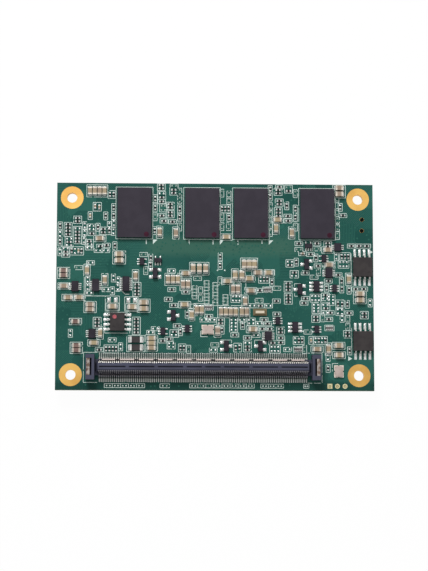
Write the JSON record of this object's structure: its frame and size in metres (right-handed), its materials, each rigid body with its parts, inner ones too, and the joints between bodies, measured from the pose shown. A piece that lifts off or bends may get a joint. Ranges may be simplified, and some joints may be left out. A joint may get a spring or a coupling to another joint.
{
  "type": "system on module",
  "caption": "Small computer module: a circuit board with memory and chip parts on its connector side, a long fine-pitch board connector, and a processor with power parts on the other side.",
  "frame": {"origin": "centre of the mounting-hole pattern, on the connector-side face of the board", "axes": "+X along the connector and the long edge, +Y across the board away from the connector, +Z out of the connector side"},
  "size_m": [0.084, 0.055, 0.0089],
  "materials": {
    "solder_mask": "satin teal-green solder mask on glass-fibre laminate",
    "gold_plating": "matt gold plating on copper",
    "connector_plastic": "moulded dark grey-violet thermoplastic",
    "contact_metal": "tinned and gold-flashed copper strip",
    "hold_down_metal": "tinned spring strip",
    "chip_moulding": "fine matt moulding compound",
    "carrier_laminate": "green laminate",
    "solder": "reflowed solder",
    "tinned_leads": "matt tin plating",
    "tinned_caps": "matt tin plating",
    "crystal_ceramic": "fired ceramic",
    "clock_ceramic": "brown fired ceramic",
    "crystal_steel": "seam-welded nickel lid",
    "capacitor_ceramic": "tan fired ceramic",
    "resistor_film": "black glazed film on ceramic",
    "ferrite": "red-brown ferrite",
    "silicon": "polished silicon",
    "inductor_body": "pressed metal powder, dark grey",
    "bulk_moulding": "black moulding compound"
  },
  "bodies": {
    "root": {"circuit_board": "solder_mask", "plated_holes": "gold_plating", "test_lands": "gold_plating", "connector_housing": "connector_plastic", "connector_contacts_row_a": "contact_metal", "connector_contacts_row_b": "contact_metal", "connector_hold_downs": "hold_down_metal", "memory_chip_1": "chip_moulding", "memory_chip_2": "chip_moulding", "memory_chip_3": "chip_moulding", "memory_chip_4": "chip_moulding", "memory_carriers": "carrier_laminate", "memory_solder_balls": "solder", "flash_chip_upper": "chip_moulding", "flash_chip_lower": "chip_moulding", "flash_chip_leads": "tinned_leads", "controller_chip": "chip_moulding", "controller_chip_leads": "tinned_leads", "driver_chips": "chip_moulding", "driver_chip_leads": "tinned_leads", "transistors": "chip_moulding", "transistor_leads": "tinned_leads", "regulator_chips": "chip_moulding", "regulator_chip_leads": "tinned_leads", "logic_chips": "chip_moulding", "logic_chip_leads": "tinned_leads", "crystal_bases": "crystal_ceramic", "crystal_lids": "crystal_steel", "clock_crystal_base": "clock_ceramic", "small_capacitors": "capacitor_ceramic", "small_resistors": "resistor_film", "small_part_end_caps": "tinned_caps", "medium_capacitors": "capacitor_ceramic", "ferrite_beads": "ferrite", "medium_part_end_caps": "tinned_caps", "large_capacitors": "capacitor_ceramic", "large_capacitor_end_caps": "tinned_caps", "power_resistors": "resistor_film", "power_resistor_end_caps": "tinned_caps", "resistor_arrays": "resistor_film", "resistor_array_end_caps": "tinned_caps", "processor_carrier": "carrier_laminate", "processor_die": "silicon", "processor_solder_balls": "solder", "hub_moulding": "chip_moulding", "hub_carrier": "carrier_laminate", "hub_solder_balls": "solder", "network_chip": "chip_moulding", "power_controller_chip": "chip_moulding", "power_transistors": "chip_moulding", "flat_chip_pads": "tinned_leads", "power_inductors": "inductor_body", "inductor_terminals": "tinned_leads", "bulk_capacitors": "bulk_moulding", "bulk_capacitor_terminals": "tinned_leads", "underside_capacitors": "capacitor_ceramic", "underside_resistors": "resistor_film", "underside_end_caps": "tinned_caps"}
  },
  "joints": []
}
